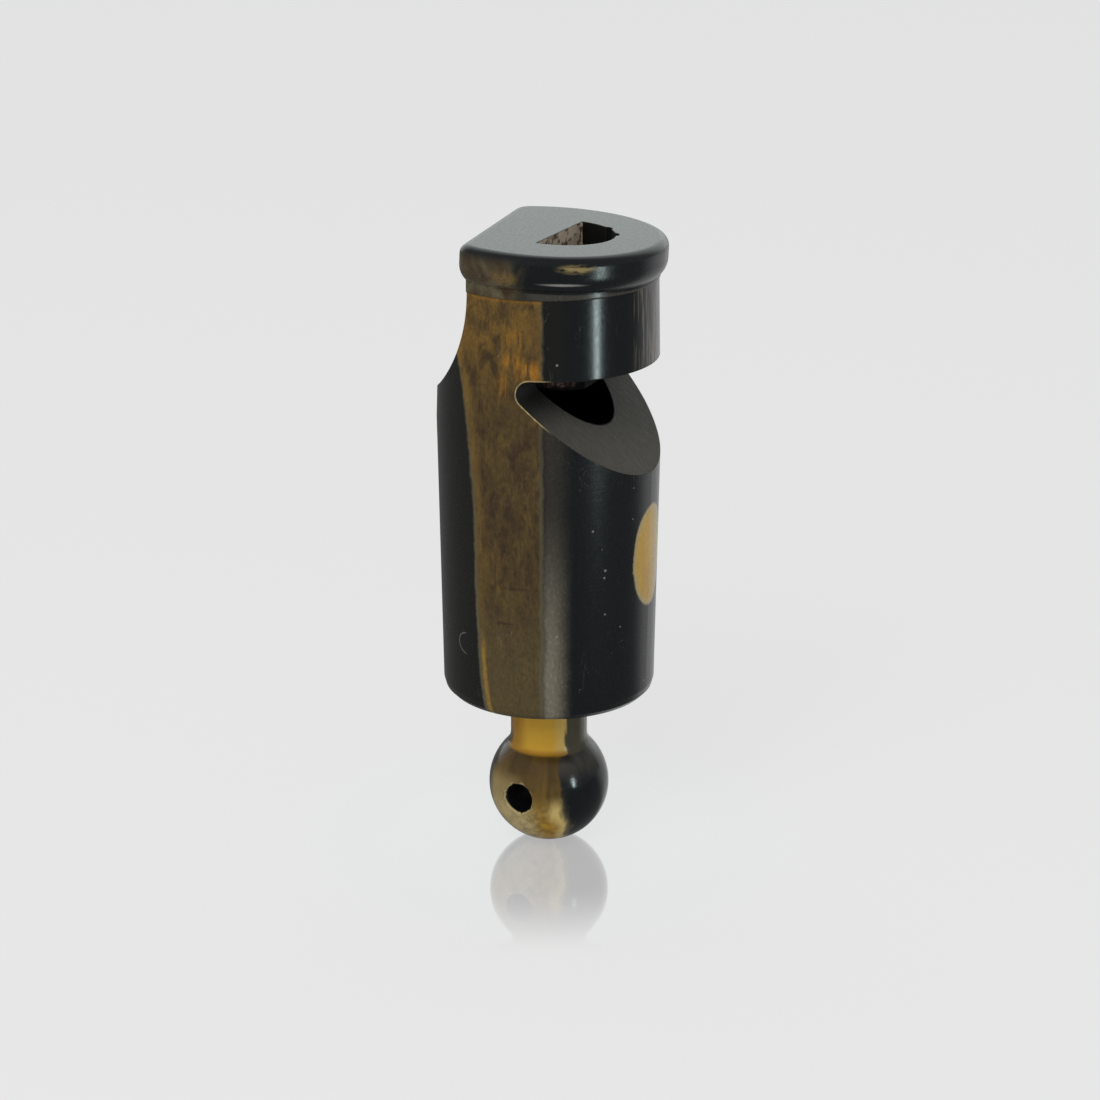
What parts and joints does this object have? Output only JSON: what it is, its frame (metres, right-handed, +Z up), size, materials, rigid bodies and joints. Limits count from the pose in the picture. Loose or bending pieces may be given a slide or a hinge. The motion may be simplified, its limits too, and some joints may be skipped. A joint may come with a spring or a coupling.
{
  "type": "bird call",
  "caption": "End-blown horn whistle with a D-shaped beaded mouthpiece, a scooped back, a ramped window, a closed chamber and a ball end drilled for a cord.",
  "frame": {"origin": "on the turning axis, at the lowest point of the ball end", "axes": "+Z runs up the turning axis to the mouth; +X is the way the window looks; the bite flat is on the -X side"},
  "size_m": [0.0213, 0.0218, 0.0604],
  "materials": {
    "horn_barrel": "polished dark horn with amber streaks",
    "horn_cap": "polished dark horn",
    "plug_cork": "rough cork",
    "horn_knob": "polished horn, amber to black"
  },
  "bodies": {
    "root": {"barrel": "horn_barrel", "mouthpiece_cap": "horn_cap", "windway_plug": "plug_cork", "end_knob": "horn_knob"}
  },
  "joints": []
}
